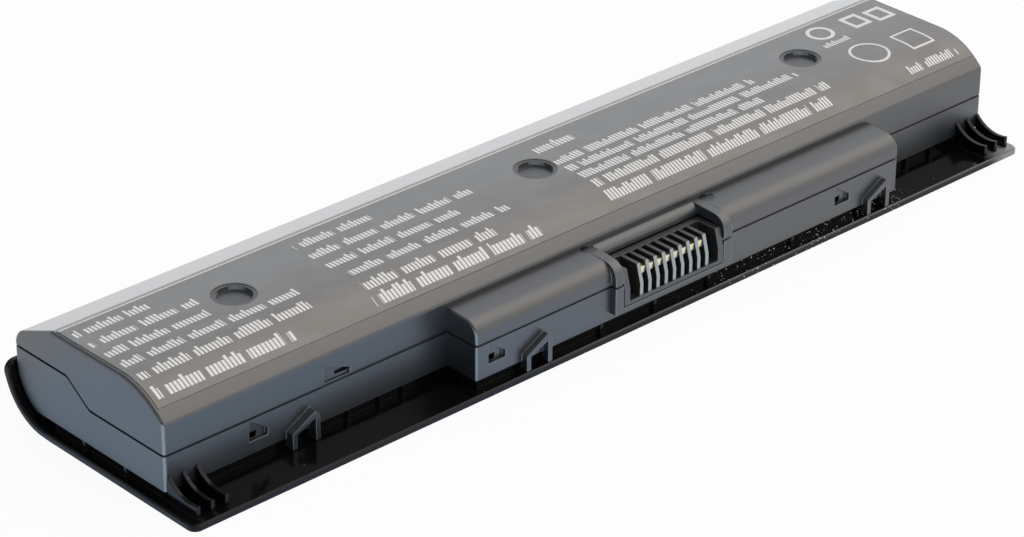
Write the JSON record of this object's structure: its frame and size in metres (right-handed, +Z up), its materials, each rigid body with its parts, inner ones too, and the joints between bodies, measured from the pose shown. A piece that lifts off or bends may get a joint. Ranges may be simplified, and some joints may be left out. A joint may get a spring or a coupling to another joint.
{
  "type": "laptop battery",
  "caption": "Long black clip-in laptop battery pack with a rounded top, a thin flange, a comb-shaped connector on a front boss, moulded hooks and corner fins.",
  "frame": {"origin": "middle of the outline's box, on the flat resting face of the outer cover", "axes": "+X along the pack's length, +Y from the connector side to the curled rear edge, +Z up through the labelled top"},
  "size_m": [0.205, 0.0514, 0.0208],
  "materials": {
    "cover_plastic": "black moulded plastic with a smooth finish",
    "case_plastic": "black moulded plastic with a fine satin texture",
    "label_film": "dark grey satin film with pale printed bars",
    "connector_plastic": "black moulded plastic",
    "gilt_contact": "gold-plated spring metal",
    "cell_sleeve": "dark shrink sleeve over a steel can",
    "nickel_strip": "spot-welded nickel strip",
    "board_laminate": "green solder mask",
    "chip_resin": "moulded resin",
    "fuse_body": "pale fired body",
    "resistor_body": "fired film on a flat body",
    "bead_resin": "dipped resin bead",
    "insulating_paper": "grey-brown fibre sheet"
  },
  "bodies": {
    "root": {"cell_1": "cell_sleeve", "cell_2": "cell_sleeve", "cell_3": "cell_sleeve", "cell_4": "cell_sleeve", "cell_5": "cell_sleeve", "cell_6": "cell_sleeve", "charge_mosfet": "chip_resin", "circuit_board": "board_laminate", "connector_housing": "connector_plastic", "contact_1": "gilt_contact", "contact_2": "gilt_contact", "contact_3": "gilt_contact", "contact_4": "gilt_contact", "contact_5": "gilt_contact", "contact_6": "gilt_contact", "contact_7": "gilt_contact", "contact_8": "gilt_contact", "discharge_mosfet": "chip_resin", "end_insulator_left": "insulating_paper", "end_insulator_right": "insulating_paper", "end_plate_negative": "nickel_strip", "end_plate_positive": "nickel_strip", "gauge_chip": "chip_resin", "label_film": "label_film", "link_plate_1": "nickel_strip", "link_plate_2": "nickel_strip", "lower_case": "case_plastic", "negative_strap": "nickel_strip", "outer_cover": "cover_plastic", "positive_strap": "nickel_strip", "protection_fuse": "fuse_body", "sense_resistor": "resistor_body", "tap_strap_1": "nickel_strip", "tap_strap_2": "nickel_strip", "thermistor": "bead_resin", "upper_case": "case_plastic"}
  },
  "joints": []
}
